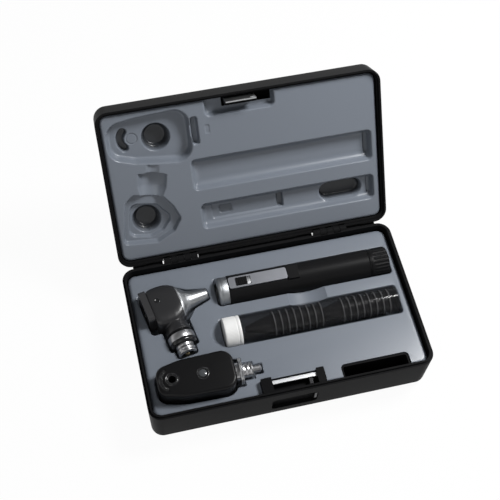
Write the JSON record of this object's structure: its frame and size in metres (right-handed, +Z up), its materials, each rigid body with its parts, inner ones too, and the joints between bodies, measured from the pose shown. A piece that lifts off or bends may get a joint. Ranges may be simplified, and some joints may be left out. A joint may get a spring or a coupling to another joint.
{
  "type": "otoscope carry case",
  "caption": "Hinged diagnostic case with formed liners that hold a battery handle, an otoscope head, an ophthalmoscope head and a tube of ear specula; sliding latch at the front.",
  "frame": {"origin": "centre of the flat underside of the base", "axes": "+Z up, +X to the right along the case's length, -Y towards the latch at the front; lid open behind +Y"},
  "size_m": [0.258, 0.2552, 0.1728],
  "materials": {
    "shell_black": "moulded, satin to gloss",
    "liner_grey": "vacuum-formed sheet, soft sheen",
    "pin_steel": "drawn wire",
    "latch_black": "moulded",
    "latch_steel": "bright pressed strip",
    "latch_dark": "blackened pressed steel",
    "handle_silver": "satin turned ring",
    "handle_black": "satin black",
    "switch_silver": "satin pressed plate",
    "contact_brass": "plated",
    "battery_jacket": "plain jacket",
    "instrument_black": "moulded, fine grain",
    "instrument_chrome": "plated",
    "lens_glass": "clear",
    "lamp_glass": "clear bulb on a metal base",
    "mirror_silver": "front-silvered",
    "tube_smoke": "smoky clear plastic tube",
    "cap_white": "moulded",
    "speculum_black": "moulded"
  },
  "bodies": {
    "case_base": {"base_shell": "shell_black", "base_liner": "liner_grey", "hinge_pins": "pin_steel", "latch_housing": "latch_black"},
    "lid": {"lid_shell": "shell_black", "lid_liner": "liner_grey", "catch_block": "latch_black", "catch_plate": "latch_steel"},
    "latch": {"latch_slider": "latch_dark", "latch_bar": "latch_steel"},
    "handle": {"handle_body": "handle_black", "neck_ring": "handle_silver", "neck_insulator": "handle_black", "neck_contact": "contact_brass", "switch_plate": "switch_silver", "switch_contact": "contact_brass", "battery_1": "battery_jacket", "battery_2": "battery_jacket", "battery_spring": "pin_steel"},
    "switch": {"switch_button": "handle_black"},
    "handle_cap": {"end_cap": "handle_black"},
    "otoscope": {"otoscope_body": "instrument_black", "otoscope_eyepiece": "instrument_black", "otoscope_lens": "lens_glass", "otoscope_nose": "instrument_chrome", "otoscope_step_ring": "instrument_black", "otoscope_collar": "instrument_chrome", "otoscope_connector": "instrument_chrome", "otoscope_contact_block": "instrument_black", "otoscope_contact_pin": "contact_brass", "otoscope_lamp": "lamp_glass"},
    "ophthalmoscope": {"ophthalmoscope_body": "instrument_black", "sight_bezel": "instrument_black", "lens_wheel_axle": "pin_steel", "window_ring": "instrument_black", "window_glass": "lens_glass", "light_mirror": "mirror_silver", "ophthalmoscope_flange": "instrument_chrome", "ophthalmoscope_connector": "instrument_chrome", "ophthalmoscope_contact": "contact_brass", "ophthalmoscope_lamp": "lamp_glass"},
    "focus_wheel": {"lens_wheel": "instrument_black"},
    "tube": {"specula_tube": "tube_smoke", "tube_cap": "cap_white", "specula_stack_1": "speculum_black", "specula_stack_2": "speculum_black"}
  },
  "joints": [
    {"name": "lid_hinge", "type": "hinge", "parent": "case_base", "child": "lid", "pos_m": [0, 0.0762, 0.0471], "axis": [-1, 0, 0], "range_deg": [-123.9, 0]},
    {"name": "latch_slide", "type": "slide", "parent": "case_base", "child": "latch", "axis": [1, 0, 0], "range_m": [-0.005, 0]},
    {"name": "handle_lift", "type": "slide", "parent": "case_base", "child": "handle", "axis": [0, 0, 1], "range_m": [0, 0.06]},
    {"name": "switch_slide", "type": "slide", "parent": "handle", "child": "switch", "axis": [1, 0, 0], "range_m": [0, 0.0035]},
    {"name": "end_cap_turn", "type": "hinge", "parent": "handle", "child": "handle_cap", "pos_m": [0.1, 0.0372, 0.0407], "axis": [1, 0, 0], "continuous": true},
    {"name": "otoscope_lift", "type": "slide", "parent": "case_base", "child": "otoscope", "axis": [0, 0, 1], "range_m": [0, 0.06]},
    {"name": "ophthalmoscope_lift", "type": "slide", "parent": "case_base", "child": "ophthalmoscope", "axis": [0, 0, 1], "range_m": [0, 0.06]},
    {"name": "lens_wheel_turn", "type": "hinge", "parent": "ophthalmoscope", "child": "focus_wheel", "pos_m": [-0.0985, -0.0447, 0.0433], "axis": [0, 0, 1], "continuous": true},
    {"name": "tube_lift", "type": "slide", "parent": "case_base", "child": "tube", "axis": [0, 0, 1], "range_m": [0, 0.06]}
  ]
}
